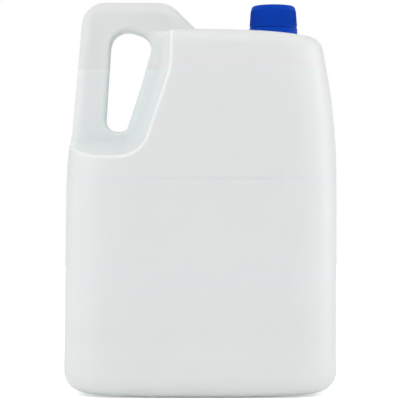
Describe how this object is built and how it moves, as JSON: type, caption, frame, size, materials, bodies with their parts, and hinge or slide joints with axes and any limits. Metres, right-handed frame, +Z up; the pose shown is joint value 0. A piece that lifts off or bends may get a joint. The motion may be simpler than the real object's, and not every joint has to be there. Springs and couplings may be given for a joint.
{
  "type": "distilled water jug",
  "caption": "Blow-moulded translucent jug with an integral loop handle, filled with water and closed by a ribbed screw cap.",
  "frame": {"origin": "middle of the base, at the level the jug stands on", "axes": "+X from the handle towards the spout, +Y from the front face to the back face, +Z up"},
  "size_m": [0.1992, 0.13, 0.2875],
  "materials": {
    "natural_polyethylene": "milky translucent polyethylene, satin from the mould",
    "water": "clear water",
    "blue_polypropylene": "moulded blue plastic with a soft gloss",
    "foam_liner": "white closed-cell foam"
  },
  "bodies": {
    "jug": {"jug_body": "natural_polyethylene", "distilled_water": "water", "tamper_band": "blue_polypropylene"},
    "liner": {"seal_liner": "foam_liner"},
    "closure": {"cap": "blue_polypropylene"}
  },
  "joints": [
    {"name": "cap_rise", "type": "slide", "parent": "jug", "child": "liner", "axis": [0, 0, 1], "range_m": [0, 0.0054]},
    {"name": "cap_turn", "type": "hinge", "parent": "liner", "child": "closure", "pos_m": [0.0542, 0, 0.27], "axis": [0, 0, 1], "range_deg": [0, 540]}
  ],
  "couplings": [
    {"joint": "cap_rise", "follows": "cap_turn", "m_per_rad": 0.000572}
  ]
}
